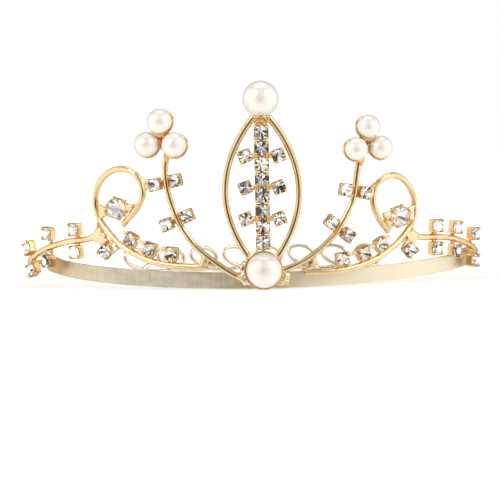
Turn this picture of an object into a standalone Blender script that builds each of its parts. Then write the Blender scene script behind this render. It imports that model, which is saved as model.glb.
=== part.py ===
"""A bridal tiara: wire scrolls, set stones and pearls brazed to a flat half-round band.

Everything is in metres with +Z up. The origin is the middle of the band's lower edge at the front, and
the head goes in at +Y.
The front of the tiara (band and ornament) is laid out on the band's outer face: ACROSS runs round that
face from the middle (negative to the viewer's left), UP runs up from the band's lower edge and OUT
points away from the face. That front leans forward a little on its lower edge, and a looped wire
closes the back and rests on the same table. Touching pieces keep JOINT_GAP between them.
"""

import math

import bmesh
import bpy
from mathutils import Matrix, Vector

MM = 0.001

# Fits
JOINT_GAP = 0.3 * MM  # between two pieces that are brazed or glued together
STONE_GAP = 0.12 * MM  # between a stone's girdle and the wall of its cup

# Band
BAND_RADIUS = 64.4 * MM  # outer face
BAND_HEIGHT = 4.6 * MM
BAND_THICKNESS = 0.8 * MM
BAND_EDGE = 0.2 * MM  # the small chamfer along the outer face's edges
BAND_END = math.radians(84)  # from the middle to each end
BAND_TIP = 0.6  # height of the very ends, as a share of the band's
BAND_SEGMENTS = 56
FRONT_LEAN = math.radians(5)

# Looped wire that closes the back
REAR_WIRE = 1.3 * MM
REAR_DEPTH = 47 * MM  # from the band's widest line to the middle of the back
LOOPS = 8
LOOP_PITCH = 10.2 * MM
LOOP_HEIGHT = 8.4 * MM  # over the wire
LOOP_SWING = 6.2 * MM  # how far a loop swings back over itself
LOOP_SPREAD = 1.2 * MM  # how far the two strands of a loop stand apart where they cross
LOOP_SLANT = 0.35  # sideways shift for each unit of height
LOOP_POINTS = 16  # points on each loop
REAR_LAP = 11 * MM  # how far the wire's ends run along the band's inner face

# Ornament wire and the small square cups on it
WIRE = 1.7 * MM
CUP = 3.9 * MM  # on the branches, the chains and below the scrolls
SMALL_CUP = 3.4 * MM  # beside the column and on the stems
CUP_DEPTH = 2.4 * MM
CUP_WALL = 0.4 * MM
BRANCH_CUP_TURN = math.radians(12)  # how far the branches' cups face forward, off the band's own face
FOOT_CUP_TURN = math.radians(20)
CUP_BACK = 0.8  # width of a cup's back, as a share of its mouth
CUP_SHOULDER = 0.3  # depth at which a cup reaches its full width, as a share of the whole
POCKET_FLOOR = 0.35  # the pocket's floor and the foot of its straight wall, as shares of the depth
POCKET_FOOT = 0.8
POCKET_TAPER = 0.7  # width of the pocket's floor, as a share of its mouth
CLAW_RISE = 0.55 * MM  # how far the corner claws stand over the rim
CLAW_LEAN = 0.4  # how far a claw's outer and inner corners lean in, as shares of the cup's wall
CLAW_BITE = 0.9
LINK_LOW = 0.25  # the back of a link bar between cups, as a share of their depth
LINK_WIDTH = 1.1 * MM
LINK_THICKNESS = 0.7 * MM

# Centre column and the almond-shaped frame round it
COLUMN_CUP = 4.1 * MM
COLUMN_CUPS = 8
COLUMN_STEP = COLUMN_CUP + 0.28 * MM
SIDE_CUP_TURN = math.radians(20)
FRAME_SPARE = 0.4 * MM  # from the widest side cup to the frame, over the joint gap
FRAME_POINT = 6.0 * MM  # from the column's ends to where the frame's two arcs would cross
FRAME_DROP = 1.3 * MM  # the frame's widest place lies this far below the column's middle
FRAME_TOP = 0.83  # shares of the way to those crossings where the two wires end
FRAME_FOOT = 0.80

# Pearls
PEARL = 10.0 * MM  # the two single pearls
PEARL_UP = 6.2 * MM  # height of the lower one's centre
PEARL_CUP_WALL = 0.5 * MM
TOP_PEARL_SINK = 0.4 * MM  # how far the top pearl's seat reaches down between the two wires
CLUSTER_GAP = 0.5 * MM  # between neighbouring pearls of a cluster
CLUSTER_TIP = math.radians(22)  # the three-pearl clusters look up by this much

# Large round stone in its claw setting
BIG_STONE = 5.4 * MM
CLAW_WALL = 0.5 * MM
BIG_TURN = math.radians(18)  # how far it faces forward, off the band's own face
LUG_BITE = 0.55  # how far in its lug starts, as a share of the collet's radius
BIG_DEPTH = 2.8 * MM
BIG_SEAT = 0.92  # its girdle's height, as a share of the collet's depth

# A cut stone, as shares of its girdle's radius
CULET = 0.12
PAVILION = 0.72
GIRDLE_LOW = 0.06
GIRDLE_HIGH = 0.04
TABLE = 0.58
CROWN = 0.36

# Each side's bent wires, as (across, up) in millimetres, or (across, up, out) where a wire leaves
# the band's face; and what is brazed to them. The two sides are bent by hand and differ a little.
SIDES = {
    "left": {
        "hand": -1,
        "cluster": (26.0, 43.2),
        "cluster_pearl": 7.0,
        "stem": [(26.0, 39.0), (27.2, 34.5), (26.6, 27.3), (23.7, 19.2), (20.8, 14.6),
                 (17.5, 10.8), (11.4, 6.2), (7.1, 3.6), (3.8, 2.2)],
        "scroll": [(41.2, 17.4), (37.0, 21.5), (34.4, 25.5), (34.8, 29.6), (37.6, 32.5),
                   (41.4, 33.2), (45.4, 32.2), (49.4, 29.2), (51.4, 25.0), (51.2, 20.8),
                   (48.6, 16.8), (43.4, 12.3), (39.0, 10.0), (34.4, 8.1), (29.2, 6.9),
                   (23.1, 6.4), (15.3, 6.2)],
        "branch": [(51.2, 14.2), (54.0, 12.7), (58.2, 11.8), (64.0, 10.9, 2.0),
                   (69.7, 9.3, 3.2), (74.8, 7.4, 4.6), (79.3, 4.8, 6.0), (82.0, 3.2, 6.0),
                   (84.4, 2.5, 3.8), (85.6, 2.3, 1.3)],
        "stem_pairs": [(29.9, -6, 0.1), (19.4, 1, 0.4)],  # height, lean in degrees, spare
        "trio": [39.6, 33.0, 25.8],
        "trio_spare": 0.3,
        "big_stone": (43.0, 22.1),
        "foot": (44.8, 1.8),  # where along the scroll, and spare
        "branch_pairs": [(60.3, 4, 0.0), (71.8, 22, 0.1), (79.6, 4, 0.1)],
        "tie": True,
    },
    "right": {
        "hand": 1,
        "cluster": (27.9, 40.8),
        "cluster_pearl": 6.5,
        "stem": [(27.9, 36.6), (27.3, 33.0), (26.4, 27.7), (25.6, 23.8), (23.6, 20.0),
                 (20.9, 15.6), (17.2, 11.8), (13.1, 8.7), (10.1, 7.1), (5.8, 5.3)],
        "scroll": [(36.9, 14.2), (33.8, 17.9), (32.1, 21.6), (32.0, 25.2), (33.4, 28.0),
                   (35.9, 29.6), (39.0, 30.0), (42.3, 28.6), (45.2, 25.4), (46.5, 21.2),
                   (46.1, 17.1), (43.5, 13.8), (39.6, 10.6), (35.6, 8.2), (31.1, 6.3),
                   (25.5, 4.9), (20.2, 4.3), (11.6, 4.4)],
        "branch": [(47.2, 11.9), (50.5, 11.3), (55.6, 10.9), (63.3, 9.7, 1.4),
                   (70.8, 7.5, 2.0), (76.4, 5.1, 2.5), (79.2, 3.9, 2.0), (81.0, 3.2, 1.3)],
        "stem_pairs": [(26.4, -3, 0.0), (16.2, -4, 0.1)],
        "trio": [35.3, 29.2, 22.2],
        "trio_spare": 0.1,
        "big_stone": (40.6, 18.4),
        "foot": (41.6, 1.6),
        "branch_pairs": [(55.2, 4, 0.0), (64.6, 8, 0.0), (74.8, 20, 0.0)],
        "tie": False,
    },
}

WIRE_STEPS = 3  # curve points for each stretch between two outline points
ROUND = 16  # sides of the turned pieces


# Derived places
wire_out = JOINT_GAP + WIRE / 2  # centre of the ornament wires, over the band's face
column_half = (COLUMN_CUPS - 1) / 2 * COLUMN_STEP + COLUMN_CUP / 2
column_up = PEARL_UP + PEARL / 2 + column_half
frame_middle = column_up - FRAME_DROP
frame_reach = column_half + FRAME_POINT
turned_half = SMALL_CUP / 2 * (math.cos(SIDE_CUP_TURN) + math.sin(SIDE_CUP_TURN))
side_cup_across = COLUMN_CUP / 2 + JOINT_GAP + turned_half
side_cup_ups = [column_up + step * COLUMN_STEP for step in (2, 0, -2)]
frame_need = side_cup_across + turned_half + JOINT_GAP + FRAME_SPARE + WIRE / 2
frame_half = frame_need / (1 - ((side_cup_ups[0] - frame_middle) / frame_reach) ** 2)


# ---- Placing -------------------------------------------------------------------------------------


def on_face(across, up, out=0.0):
    """The point of the front frame at this distance round, over and off the band's outer face."""
    angle = across / BAND_RADIUS
    reach = BAND_RADIUS + out
    return Vector((reach * math.sin(angle), BAND_RADIUS - reach * math.cos(angle), up))


def facing(across, up, out=0.0, roll=0.0, tip=0.0, forward=0.0):
    """A matrix at that point: local X runs across, Y up and Z out.

    Tip looks up, roll turns about Z, and forward faces that much nearer to the front than the band does.
    """
    angle = across / BAND_RADIUS - math.copysign(forward, across)
    right = Vector((math.cos(angle), math.sin(angle), 0))
    outward = Vector((math.sin(angle), -math.cos(angle), 0))
    turn = Matrix((right, Vector((0, 0, 1)), outward)).transposed().to_4x4()
    tilt = Matrix.Rotation(-tip, 4, "X") @ Matrix.Rotation(roll, 4, "Z")
    return Matrix.Translation(on_face(across, up, out)) @ turn @ tilt


def cup_reach(size, lean=0.0, spare=0.0):
    """From a wire's centre line to the centre of a cup beside it, so that a leaning cup's corner clears."""
    return (WIRE / 2 + JOINT_GAP) / math.cos(lean) + size / 2 * (1 + abs(math.tan(lean))) + spare * MM


def smooth(points, steps):
    """Points along the Catmull-Rom curve through these ones."""
    ends = [2 * points[0] - points[1], *points, 2 * points[-1] - points[-2]]
    found = []
    for i in range(1, len(ends) - 2):
        before, start, end, after = ends[i - 1 : i + 3]
        for step in range(steps):
            t = step / steps
            line = 2 * start + t * (end - before)
            bend = t * t * (2 * before - 5 * start + 4 * end - after)
            twist = t * t * t * (3 * start - before - 3 * end + after)
            found.append((line + bend + twist) / 2)
    return [*found, points[-1]]


class Route:
    """A wire's centre line, as (across, up, out) with the side's sign on across."""

    def __init__(self, outline, hand):
        full = [point if len(point) == 3 else (*point, wire_out / MM) for point in outline]
        places = [Vector((hand * across, up, out)) * MM for across, up, out in full]
        self.hand = hand
        self.places = smooth(places, WIRE_STEPS)

    def nearest(self, measure, target, after=0):
        """The place on the route where across (0) or up (1) reaches the target, and its direction."""
        wanted = target * MM * (self.hand if measure == 0 else 1)
        for i in range(after, len(self.places) - 1):
            low, high = self.places[i][measure], self.places[i + 1][measure]
            if min(low, high) <= wanted <= max(low, high) and low != high:
                share = (wanted - low) / (high - low)
                place = self.places[i].lerp(self.places[i + 1], share)
                return place, (self.places[i + 1] - self.places[i]).normalized()
        raise ValueError(f"the wire never reaches {target} mm")

    def points(self):
        return [on_face(*place) for place in self.places]


# ---- Objects -------------------------------------------------------------------------------------


def make_material(name, colour, metallic, roughness):
    made = bpy.data.materials.new(name)
    made.use_nodes = True
    shader = made.node_tree.nodes["Principled BSDF"]
    shader.inputs["Base Color"].default_value = (*colour, 1)
    shader.inputs["Metallic"].default_value = metallic
    shader.inputs["Roughness"].default_value = roughness
    made.diffuse_color = (*colour, 1)
    return made


def add_object(name, data, material, parent, matrix=None):
    data.materials.append(material.copy())
    made = bpy.data.objects.new(name, data)
    bpy.context.scene.collection.objects.link(made)
    made.parent = parent
    if matrix is not None:
        made.matrix_local = matrix
    return made


def shade(mesh, angle=40):
    mesh.shade_smooth()
    mesh.set_sharp_from_angle(angle=math.radians(angle))


def add_mesh(name, bm, material, parent, matrix=None):
    mesh = bpy.data.meshes.new(name)
    bmesh.ops.recalc_face_normals(bm, faces=bm.faces)
    bm.to_mesh(mesh)
    bm.free()
    shade(mesh)
    return add_object(name, mesh, material, parent, matrix)


def add_wire(name, points, diameter, material, parent, rounding=2):
    """A round wire with closed ends along these points."""
    curve = bpy.data.curves.new(name, "CURVE")
    curve.dimensions = "3D"
    curve.bevel_depth = diameter / 2
    curve.bevel_resolution = rounding
    curve.use_fill_caps = True
    spline = curve.splines.new("POLY")
    spline.points.add(len(points) - 1)
    for spot, point in zip(spline.points, points):
        spot.co = (*point, 1)
    return add_object(name, curve, material, parent)


def loft(bm, rings):
    """Bridges rings of points, first to last, and closes both ends with a face."""
    loops = [[bm.verts.new(point) for point in ring] for ring in rings]
    for lower, upper in zip(loops, loops[1:]):
        for i in range(len(lower)):
            following = (i + 1) % len(lower)
            bm.faces.new((lower[i], lower[following], upper[following], upper[i]))
    bm.faces.new(loops[0][::-1])
    bm.faces.new(loops[-1])
    return bm


def circle(radius, height, sides=ROUND, phase=0.0):
    turn = 2 * math.pi / sides
    return [Vector((radius * math.cos(i * turn + phase), radius * math.sin(i * turn + phase), height))
            for i in range(sides)]


def turned(profile, sides=ROUND):
    """A solid turned about Z from (radius, height) pairs that start and end on flat faces."""
    return loft(bmesh.new(), [circle(radius, height, sides) for radius, height in profile])


def square(half, height, claw=0.0, pull=0.0):
    """Eight points round a square; the four corners rise by claw and draw in by pull."""
    corner = half - pull
    ring = []
    for i in range(4):
        quarter = Matrix.Rotation(i * math.pi / 2, 3, "Z")
        ring.append(quarter @ Vector((corner, corner, height + claw)))
        ring.append(quarter @ Vector((0, half, height)))
    return ring


def box(half_x, low_y, high_y, low_z, high_z):
    """A bar along local Y."""
    bm = bmesh.new()
    corners = [(-half_x, low_y), (half_x, low_y), (half_x, high_y), (-half_x, high_y)]
    rings = [[Vector((x, y, z)) for x, y in corners] for z in (low_z, high_z)]
    return loft(bm, rings)


def add_bar(start, end, out_low, out_high, width=LINK_WIDTH):
    """A link bar between two (across, up) places, as (shape, matrix)."""
    middle = (Vector(start) + Vector(end)) / 2
    along = Vector(end) - Vector(start)
    roll = math.atan2(-along.x, along.y)
    half = along.length / 2
    return box(width / 2, -half, half, out_low, out_high), facing(middle.x, middle.y, 0, roll)


def fused(name, shapes, material, parent):
    """One solid from several (bmesh, matrix) shapes, joined by Boolean unions."""
    helpers = []
    for bm, matrix in shapes:
        mesh = bpy.data.meshes.new(name)
        bmesh.ops.recalc_face_normals(bm, faces=bm.faces)
        bm.transform(matrix)
        bm.to_mesh(mesh)
        bm.free()
        helper = bpy.data.objects.new(name + "_shape", mesh)
        bpy.context.scene.collection.objects.link(helper)
        helpers.append(helper)
    base = helpers[0]
    for helper in helpers[1:]:
        union = base.modifiers.new("union", "BOOLEAN")
        union.operation = "UNION"
        union.object = helper
    bpy.context.view_layer.update()
    graph = bpy.context.evaluated_depsgraph_get()
    mesh = bpy.data.meshes.new_from_object(base.evaluated_get(graph))
    mesh.name = name
    for helper in helpers:
        bpy.data.objects.remove(helper)
    shade(mesh)
    return add_object(name, mesh, material, parent)


# ---- Shapes --------------------------------------------------------------------------------------


def cup_wall(half):
    """The rings of a square cup's outside, from its back up to the claws' outer corners."""
    return [
        square(half * CUP_BACK, 0),
        square(half, CUP_DEPTH * CUP_SHOULDER),
        square(half, CUP_DEPTH, CLAW_RISE, CUP_WALL * CLAW_LEAN),
    ]


def open_cup(size):
    """A square cup with corner claws and a pocket for a round stone; its back is at Z = 0."""
    half = size / 2
    pocket = half - CUP_WALL
    rings = [
        *cup_wall(half),
        square(pocket, CUP_DEPTH, CLAW_RISE * 0.8, CUP_WALL * CLAW_BITE),
        square(pocket, CUP_DEPTH * POCKET_FOOT),
        square(pocket * POCKET_TAPER, CUP_DEPTH * POCKET_FLOOR),
    ]
    return loft(bmesh.new(), rings)


def set_cup(size):
    """The same cup with its stone in it, as one solid: the last two rings are the stone's crown."""
    half = size / 2
    girdle = half - CUP_WALL
    rings = [
        *cup_wall(half),
        square(girdle, CUP_DEPTH, CLAW_RISE * 0.8, CUP_WALL * CLAW_BITE),
        square(girdle * 0.95, CUP_DEPTH * 0.9, 0, girdle * 0.2),
        square(girdle * 0.6, CUP_DEPTH * 1.15, 0, girdle * 0.15),
    ]
    return loft(bmesh.new(), rings)


def brilliant(diameter, sides):
    """A round cut stone with its girdle at Z = 0: pointed pavilion, sloping crown, flat table."""
    girdle = diameter / 2
    profile = [(girdle * CULET, -girdle * PAVILION), (girdle, -girdle * GIRDLE_LOW),
               (girdle, girdle * GIRDLE_HIGH), (girdle * TABLE, girdle * CROWN)]
    return turned(profile, sides)


def pearl_dish(pearl, cover, sides=ROUND):
    """A shallow dish that a pearl sits in, centred on the pearl and opening along Z."""
    inner = pearl / 2 + JOINT_GAP
    outer = inner + PEARL_CUP_WALL
    angles = [cover * share for share in (0.15, 0.45, 0.75, 1.0)]
    outside = [(outer * math.sin(a), -outer * math.cos(a)) for a in angles]
    inside = [(inner * math.sin(a), -inner * math.cos(a)) for a in reversed(angles)]
    return turned([*outside, *inside], sides)


def claw_ring(diameter):
    """A round collet with four claws for the large stone; its back is at Z = 0."""
    inner = diameter / 2 + STONE_GAP
    outer = inner + CLAW_WALL

    def ring(radius, height, rise, pull):
        points = circle(radius, height)
        for i in range(2, ROUND, 4):
            points[i] = Vector((points[i].x * pull, points[i].y * pull, height + rise))
        return points

    rings = [
        circle(outer * 0.72, 0),
        circle(outer, BIG_DEPTH * 0.6),
        ring(outer, BIG_DEPTH, CLAW_RISE * 2, 0.93),
        ring(inner, BIG_DEPTH, CLAW_RISE * 2, 0.97),
        circle(inner, BIG_DEPTH * 0.7),
        circle(inner * 0.3, BIG_DEPTH * 0.1),
    ]
    return loft(bmesh.new(), rings)


# ---- Sub-parts -----------------------------------------------------------------------------------


def make_band(parent):
    """The flat strip, bent round the front half of the head, with slightly narrowed ends."""
    inner = BAND_RADIUS - BAND_THICKNESS
    outer = BAND_RADIUS - BAND_EDGE
    section = [(outer, 0), (BAND_RADIUS, BAND_EDGE), (BAND_RADIUS, BAND_HEIGHT - BAND_EDGE),
               (outer, BAND_HEIGHT), (inner, BAND_HEIGHT), (inner, 0)]
    rings = []
    for i in range(BAND_SEGMENTS + 1):
        side = 2 * i / BAND_SEGMENTS - 1
        angle = BAND_END * side
        share = min(1.0, BAND_TIP + (1 - abs(side)) * BAND_SEGMENTS / 2 * (1 - BAND_TIP))
        ring = []
        for radius, height in section:
            up = BAND_HEIGHT / 2 + (height - BAND_HEIGHT / 2) * share
            ring.append(Vector((radius * math.sin(angle), BAND_RADIUS - radius * math.cos(angle), up)))
        rings.append(ring)
    add_mesh("band_strip", loft(bmesh.new(), rings), satin_gold, parent)


def rear_arm(lean, radius, half_row):
    """From inside the left band end, round the side and down to the table where the loops start."""
    laps = 4
    lap = REAR_LAP / BAND_RADIUS
    arm = []
    for i in range(laps + 1):
        angle = BAND_END - lap + lap * 1.1 * i / laps
        place = Vector((-radius * math.sin(angle), BAND_RADIUS - radius * math.cos(angle), 0))
        arm.append(lean @ (place + Vector((0, 0, BAND_HEIGHT / 2))))
    top = arm[-1].z
    stretches = 8
    for i in range(1, stretches + 1):
        share = i / stretches
        place = rear_place(lean, -radius * math.cos(math.acos(half_row / radius) * share), radius)
        place.z += (top - place.z) * (1 + math.cos(math.pi * share)) / 2
        arm.append(place)
    return arm


def rear_place(lean, across, radius):
    """A point on the table on the half ellipse behind the band."""
    widest = (lean @ Vector((0, BAND_RADIUS, 0))).y
    y = widest + REAR_DEPTH * math.sqrt(1 - (across / radius) ** 2)
    return Vector((across, y, REAR_WIRE / 2))


def rear_points(lean):
    """The looped wire: a row of slanted loops between two arms that are mirror images."""
    radius = BAND_RADIUS - BAND_THICKNESS - JOINT_GAP - REAR_WIRE / 2
    half_row = LOOPS * LOOP_PITCH / 2
    arm = rear_arm(lean, radius, half_row)
    row = []
    for i in range(1, LOOPS * LOOP_POINTS):
        phase = 2 * math.pi * i / LOOP_POINTS
        height = (LOOP_HEIGHT - REAR_WIRE) / 2 * (1 - math.cos(phase))
        swing = LOOP_SWING * math.sin(phase) - LOOP_SLANT * height
        place = rear_place(lean, LOOP_PITCH * i / LOOP_POINTS - half_row + swing, radius)
        row.append(place + Vector((0, LOOP_SPREAD * math.sin(phase), height)))
    mirrored = [Vector((-place.x, place.y, place.z)) for place in reversed(arm)]
    return [*arm, *row, *mirrored]


def make_rear(parent, lean):
    points = rear_points(lean)
    add_wire("rear_loop_wire", points, REAR_WIRE, gold, parent, rounding=1)


def make_frame(parent):
    """The two parabolic arcs of the almond-shaped frame."""
    low = frame_middle - frame_reach * FRAME_FOOT
    high = frame_middle + frame_reach * FRAME_TOP
    steps = 20
    for name, hand in (("marquise_left_wire", -1), ("marquise_right_wire", 1)):
        points = []
        for i in range(steps + 1):
            up = low + (high - low) * i / steps
            across = frame_half * (1 - ((up - frame_middle) / frame_reach) ** 2)
            points.append(on_face(hand * across, up, wire_out))
        add_wire(name, points, WIRE, gold, parent)


def make_column(parent):
    """Eight linked cups with their stones, and three pairs of turned cups beside them."""
    base = JOINT_GAP
    shapes = []
    for i in range(COLUMN_CUPS):
        up = column_up + (i - (COLUMN_CUPS - 1) / 2) * COLUMN_STEP
        shapes.append((open_cup(COLUMN_CUP), facing(0, up, base)))
        stone = brilliant(COLUMN_CUP - 2 * CUP_WALL - 2 * STONE_GAP, 8)
        add_mesh(f"column_stone_{COLUMN_CUPS - i}", stone, crystal, parent,
                 facing(0, up, base + CUP_DEPTH))
    reach = column_half - COLUMN_CUP * 0.4
    shapes.append(add_bar((0, column_up - reach), (0, column_up + reach), base + 0.1 * MM,
                          base + LINK_THICKNESS))
    fused("centre_cup_column", shapes, gold, parent)
    for i, up in enumerate(side_cup_ups, 1):
        for name, hand in (("left", -1), ("right", 1)):
            matrix = facing(hand * side_cup_across, up, base, SIDE_CUP_TURN)
            add_mesh(f"side_setting_{name}_{i}", set_cup(SMALL_CUP), gold, parent, matrix)


def make_single_pearls(parent):
    """The pearl at the foot of the frame in its dish, and the one on the frame's point."""
    dish_cover = math.radians(72)
    back = wire_out + WIRE / 2 + JOINT_GAP
    out = back + PEARL_CUP_WALL + JOINT_GAP + PEARL / 2
    place = facing(0, PEARL_UP, out)
    add_pearl("bottom_pearl", PEARL, place, parent)
    add_mesh("bottom_pearl_cup", pearl_dish(PEARL, dish_cover), gold, parent, place)
    top = frame_middle + frame_reach * FRAME_TOP
    seat = top + WIRE / 2 + JOINT_GAP + PEARL_CUP_WALL
    pearl_up = seat + JOINT_GAP + PEARL / 2 - TOP_PEARL_SINK
    place = facing(0, pearl_up, wire_out, 0, math.radians(90))
    add_pearl("top_pearl", PEARL, place, parent)
    inner = PEARL / 2 + JOINT_GAP
    outer = inner + PEARL_CUP_WALL
    cover = math.radians(28)
    neck_radius = frame_half * (1 - FRAME_TOP**2) - WIRE / 2 - JOINT_GAP
    neck_low = column_up + column_half + JOINT_GAP
    angles = [math.asin(neck_radius / outer), cover * 0.9, cover]
    outside = [(outer * math.sin(a), -outer * math.cos(a)) for a in angles]
    inside = [(inner * math.sin(a), -inner * math.cos(a)) for a in (cover, cover * 0.6, cover * 0.2)]
    profile = [(neck_radius, neck_low - pearl_up), *outside, *inside]
    add_mesh("top_pearl_cap", turned(profile, 12), gold, parent, place)


def add_pearl(name, diameter, place, parent):
    bm = bmesh.new()
    bmesh.ops.create_uvsphere(bm, u_segments=16, v_segments=9, radius=diameter / 2)
    add_mesh(name, bm, pearl_white, parent, place)


def make_cluster(name, side, parent):
    """Three pearls in three joined dishes on the stem's tip."""
    hand = side["hand"]
    pearl = side["cluster_pearl"] * MM
    across, up = (value * MM for value in side["cluster"])
    cover = math.radians(50)
    dish = pearl / 2 + JOINT_GAP + PEARL_CUP_WALL
    spread = (pearl + CLUSTER_GAP) / math.sqrt(3)
    out = wire_out + WIRE / 2 + JOINT_GAP + dish + 0.4 * MM
    shapes = []
    spots = {"top": 90, "inner": 210, "outer": 330}
    for spot, degrees in spots.items():
        turn = math.radians(degrees)
        x = hand * across + hand * spread * math.cos(turn)
        y = up + spread * math.sin(turn)
        place = facing(x, y, out, 0, CLUSTER_TIP)
        add_pearl(f"{name}_pearl_{spot}", pearl, place, parent)
        shapes.append((pearl_dish(pearl, cover, 12), place))
    plate = turned([(spread * 0.9, 0), (spread * 0.9, LINK_THICKNESS)], 12)
    low = up - dish * math.sin(CLUSTER_TIP)
    back = out - dish * math.cos(CLUSTER_TIP) - LINK_THICKNESS * 0.6
    shapes.append((plate, facing(hand * across, low, back)))
    fused(f"{name}_cluster_cups", shapes, gold, parent)


def beside(place, direction, swing, reach, lean=0.0):
    """The (across, up, roll) of a cup at this reach to one side of a wire's place."""
    heading = math.atan2(direction.y, direction.x) + swing * math.pi / 2 + lean
    spot = (place.x + reach * math.cos(heading), place.y + reach * math.sin(heading))
    return (*spot, heading - math.pi / 2)


def pair_shapes(size, route, station, measure, forward=0.0):
    """Two set cups, one on each side of a wire, with a link bar behind it."""
    target, degrees, spare = station
    lean = math.radians(degrees) * route.hand
    place, direction = route.nearest(measure, target)
    base = place.z - WIRE / 2
    reach = cup_reach(size, lean, spare)
    shapes = []
    spots = []
    for swing in (1, -1):
        x, y, roll = beside(place, direction, swing, reach, lean)
        shapes.append((set_cup(size), facing(x, y, base, roll, 0, forward)))
        spots.append(Vector((x, y)))
    inward = (spots[1] - spots[0]).normalized() * size * 0.25
    back = base - JOINT_GAP
    shapes.append(add_bar(spots[0] + inward, spots[1] - inward, back - LINK_THICKNESS, back))
    for spot, step in ((spots[0], inward), (spots[1], -inward)):
        shapes.append(add_bar(spot + step * 0.2, spot + step * 1.3, back - LINK_THICKNESS / 2,
                              base + CUP_DEPTH / 2, LINK_WIDTH * 0.9))
    return shapes


def make_side(name, parent):
    side = SIDES[name]
    hand = side["hand"]
    stem = Route(side["stem"], hand)
    scroll = Route(side["scroll"], hand)
    branch = Route(side["branch"], hand)
    for wire, route in (("stem", stem), ("scroll", scroll), ("branch", branch)):
        add_wire(f"{name}_{wire}_wire", route.points(), WIRE, gold, parent)
    make_cluster(name, side, parent)
    for label, station in zip(("stem_top_pair", "stem_mid_pair"), side["stem_pairs"]):
        shapes = pair_shapes(SMALL_CUP, stem, station, 1)
        if side["tie"] and label == "stem_top_pair":
            shapes.append(make_tie(stem, scroll, station, hand))
        fused(f"{name}_{label}", shapes, gold, parent)
    for i, station in enumerate(side["branch_pairs"], 1):
        shapes = pair_shapes(CUP, branch, station, 0, BRANCH_CUP_TURN)
        fused(f"{name}_branch_pair_{i}", shapes, gold, parent)
    make_trio(name, side, scroll, parent)
    make_big_stone(name, side, scroll, parent)
    make_foot(name, side, scroll, parent)


def make_tie(stem, scroll, station, hand):
    """The short tab from the outer cup of the top pair towards the scroll."""
    height, degrees, spare = station
    place, _ = stem.nearest(1, height)
    start = place.x + hand * (cup_reach(SMALL_CUP, math.radians(degrees), spare) + SMALL_CUP * 0.3)
    across = min((abs(p.y - place.y), abs(p.x)) for p in scroll.places[: WIRE_STEPS * 4])[1]
    end = hand * (across - WIRE / 2 - JOINT_GAP)
    low = JOINT_GAP + CUP_DEPTH * 0.3
    return add_bar((start, place.y), (end, place.y), low, low + LINK_THICKNESS)


def make_trio(name, side, scroll, parent):
    """Three linked set cups along the scroll's tail."""
    base = JOINT_GAP
    reach = cup_reach(CUP, 0, side["trio_spare"])
    start = WIRE_STEPS * 8
    shapes = []
    spots = []
    for target in side["trio"]:
        place, direction = scroll.nearest(0, target, start)
        x, y, roll = beside(place, direction, side["hand"] * -1, reach)
        shapes.append((set_cup(CUP), facing(x, y, base, roll)))
        spots.append((x, y))
    for first, second in zip(spots, spots[1:]):
        low = base + CUP_DEPTH * LINK_LOW
        shapes.append(add_bar(first, second, low, low + LINK_THICKNESS))
    fused(f"{name}_chain_trio", shapes, gold, parent)


def make_big_stone(name, side, scroll, parent):
    """The large round stone in its collet, with a lug out to the scroll."""
    hand = side["hand"]
    across, up = side["big_stone"]
    base = JOINT_GAP
    place = facing(hand * across * MM, up * MM, base, 0, 0, BIG_TURN)
    outer = BIG_STONE / 2 + STONE_GAP + CLAW_WALL
    turn = WIRE_STEPS * 5
    edge, _ = scroll.nearest(1, up, turn)
    start = hand * (across * MM + outer * LUG_BITE)
    end = edge.x - hand * (WIRE / 2 + JOINT_GAP)
    low = base + BIG_DEPTH * 0.4
    lug = add_bar((start, up * MM), (end, up * MM), low, low + LINK_THICKNESS)
    fused(f"{name}_claw_setting", [(claw_ring(BIG_STONE), place), lug], gold, parent)
    seat = place @ Matrix.Translation((0, 0, BIG_DEPTH * BIG_SEAT))
    add_mesh(f"{name}_big_stone", brilliant(BIG_STONE, 12), crystal, parent, seat)


def make_foot(name, side, scroll, parent):
    """The single set cup below the scroll, with a tab up to it."""
    target, spare = side["foot"]
    place, direction = scroll.nearest(0, target, WIRE_STEPS * 9)
    base = JOINT_GAP
    reach = cup_reach(CUP, 0, spare)
    x, y, roll = beside(place, direction, side["hand"], reach)
    toward = (Vector((place.x, place.y)) - Vector((x, y))).normalized()
    end = Vector((x, y)) + toward * (reach - WIRE / 2 - JOINT_GAP)
    low = base + CUP_DEPTH * LINK_LOW
    bar = add_bar((x, y), end, low, low + LINK_THICKNESS)
    cup = facing(x, y, base, roll, 0, FOOT_CUP_TURN)
    fused(f"{name}_foot_setting", [(set_cup(CUP), cup), bar], gold, parent)


# ---- The whole tiara -----------------------------------------------------------------------------

for old in list(bpy.data.objects):
    bpy.data.objects.remove(old)

gold = make_material("polished_gold", (0.86, 0.62, 0.33), 1.0, 0.18)
satin_gold = make_material("satin_gold", (0.72, 0.60, 0.42), 1.0, 0.38)
crystal = make_material("crystal", (0.90, 0.91, 0.93), 0.0, 0.03)
pearl_white = make_material("pearl", (0.93, 0.88, 0.82), 0.0, 0.22)

tiara = bpy.data.objects.new("tiara", None)
front = bpy.data.objects.new("front_frame", None)
for empty in (tiara, front):
    bpy.context.scene.collection.objects.link(empty)
front.parent = tiara
edge_middle = on_face(0, 0, -(BAND_THICKNESS + BAND_EDGE) / 2)
lean_forward = Matrix.Rotation(FRONT_LEAN, 4, "X") @ Matrix.Translation(-edge_middle)
front.matrix_local = lean_forward

make_band(front)
make_rear(tiara, lean_forward)
make_frame(front)
make_column(front)
make_single_pearls(front)
for side_name in SIDES:
    make_side(side_name, front)
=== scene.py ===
"""Looks of a bridal tiara: polished wire scrolls, cut stones in square cups and simulated pearls.

Lengths are in millimetres and become metres when a piece is made. The front of the tiara is laid out on
the band's outer face: ACROSS runs round it from the middle (negative to the viewer's left), UP runs up
from the band's lower edge and OUT points away from the face. That front leans forward on its lower edge.
"""

import math

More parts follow.
